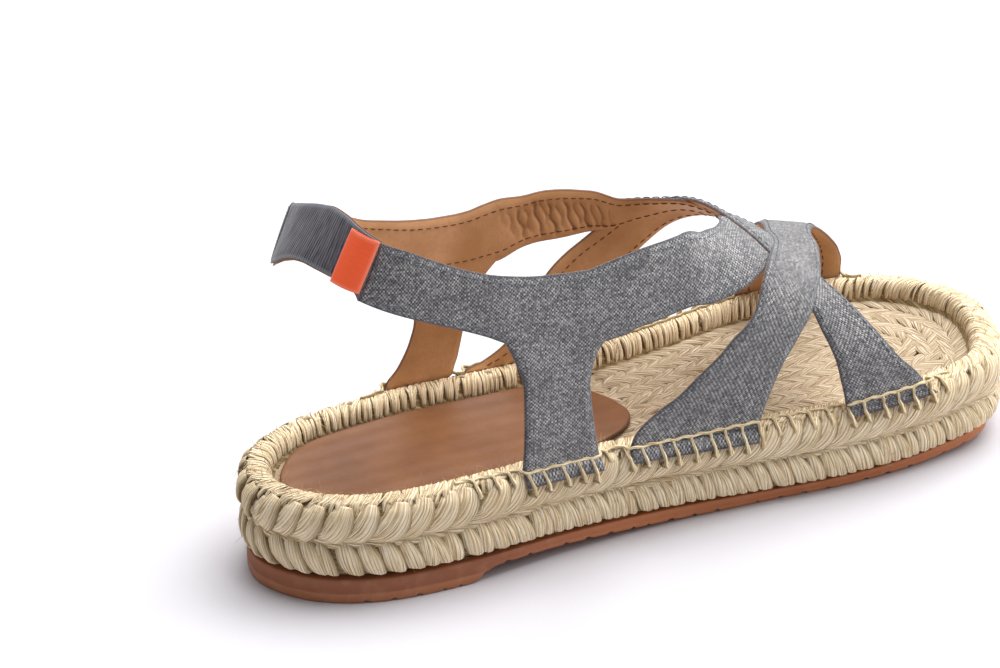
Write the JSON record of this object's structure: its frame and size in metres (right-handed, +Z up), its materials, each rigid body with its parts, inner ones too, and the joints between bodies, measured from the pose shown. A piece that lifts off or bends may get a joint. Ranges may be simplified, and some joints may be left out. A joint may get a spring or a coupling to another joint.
{
  "type": "espadrille slingback sandal",
  "caption": "Flat jute-soled espadrille sandal for a right foot, with crossed canvas straps, an elastic heel strap, a leather heel sock and a rubber outsole.",
  "frame": {"origin": "middle of the whole sandal's box, on the floor", "axes": "+X to the toe, +Y to the inner side of the foot, +Z up"},
  "size_m": [0.256, 0.0904, 0.1191],
  "materials": {
    "outsole_rubber": "matt tan rubber with fine upright ribs",
    "jute": "plaited natural jute",
    "sock_leather": "smooth tan leather",
    "strap_canvas": "grey-blue chambray canvas lined with tan leather",
    "heel_webbing": "grey-blue ribbed elastic",
    "tab_ribbon": "orange satin ribbon"
  },
  "bodies": {
    "root": {"rubber_outsole": "outsole_rubber", "jute_sole": "jute", "heel_sock": "sock_leather", "upper": "strap_canvas", "heel_elastic": "heel_webbing", "ribbon_tab": "tab_ribbon"}
  },
  "joints": []
}
